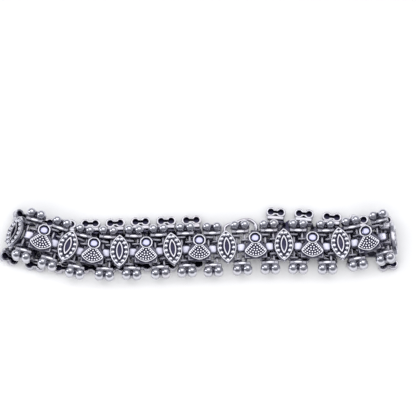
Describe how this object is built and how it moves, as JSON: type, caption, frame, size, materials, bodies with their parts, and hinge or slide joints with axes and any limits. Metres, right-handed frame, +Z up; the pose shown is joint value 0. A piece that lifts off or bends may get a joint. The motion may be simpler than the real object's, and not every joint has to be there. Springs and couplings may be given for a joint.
{
  "type": "chain bracelet",
  "caption": "Flat chain bracelet of ball-ended bar connectors with fan and marquise plates hinged between them, closed by a wire hook and lying doubled.",
  "frame": {"origin": "centre of the bounding box's bottom, on the surface that the doubled bracelet lies on", "axes": "+X along the doubled bracelet, from left to right in the picture, +Y across the band, away from the camera, +Z up"},
  "size_m": [0.0934, 0.0192, 0.0085],
  "materials": {
    "oxidised_silver": "cast silver, oxidised dark in the recesses and polished on the high points",
    "polished_silver_wire": "polished wire, slightly tarnished"
  },
  "bodies": {
    "root": {"clasp_hook": "polished_silver_wire", "clasp_ring": "polished_silver_wire", "connector_01": "oxidised_silver", "connector_02": "oxidised_silver", "connector_03": "oxidised_silver", "connector_04": "oxidised_silver", "connector_05": "oxidised_silver", "connector_06": "oxidised_silver", "connector_07": "oxidised_silver", "connector_08": "oxidised_silver", "connector_09": "oxidised_silver", "connector_10": "oxidised_silver", "connector_11": "oxidised_silver", "connector_12": "oxidised_silver", "connector_13": "oxidised_silver", "connector_14": "oxidised_silver", "connector_15": "oxidised_silver", "connector_16": "oxidised_silver", "connector_17": "oxidised_silver", "connector_18": "oxidised_silver", "connector_19": "oxidised_silver", "connector_20": "oxidised_silver", "connector_21": "oxidised_silver", "connector_22": "oxidised_silver", "connector_23": "oxidised_silver", "connector_24": "oxidised_silver", "connector_25": "oxidised_silver", "connector_26": "oxidised_silver", "connector_27": "oxidised_silver", "end_bail_left": "oxidised_silver", "end_bail_right": "oxidised_silver", "fan_plate_01": "oxidised_silver", "fan_plate_02": "oxidised_silver", "fan_plate_03": "oxidised_silver", "fan_plate_04": "oxidised_silver", "fan_plate_05": "oxidised_silver", "fan_plate_06": "oxidised_silver", "fan_plate_07": "oxidised_silver", "fan_plate_08": "oxidised_silver", "fan_plate_09": "oxidised_silver", "fan_plate_10": "oxidised_silver", "fan_plate_11": "oxidised_silver", "fan_plate_12": "oxidised_silver", "fan_plate_13": "oxidised_silver", "marquise_plate_01": "oxidised_silver", "marquise_plate_02": "oxidised_silver", "marquise_plate_03": "oxidised_silver", "marquise_plate_04": "oxidised_silver", "marquise_plate_05": "oxidised_silver", "marquise_plate_06": "oxidised_silver", "marquise_plate_07": "oxidised_silver", "marquise_plate_08": "oxidised_silver", "marquise_plate_09": "oxidised_silver", "marquise_plate_10": "oxidised_silver", "marquise_plate_11": "oxidised_silver", "marquise_plate_12": "oxidised_silver", "marquise_plate_13": "oxidised_silver"}
  },
  "joints": []
}
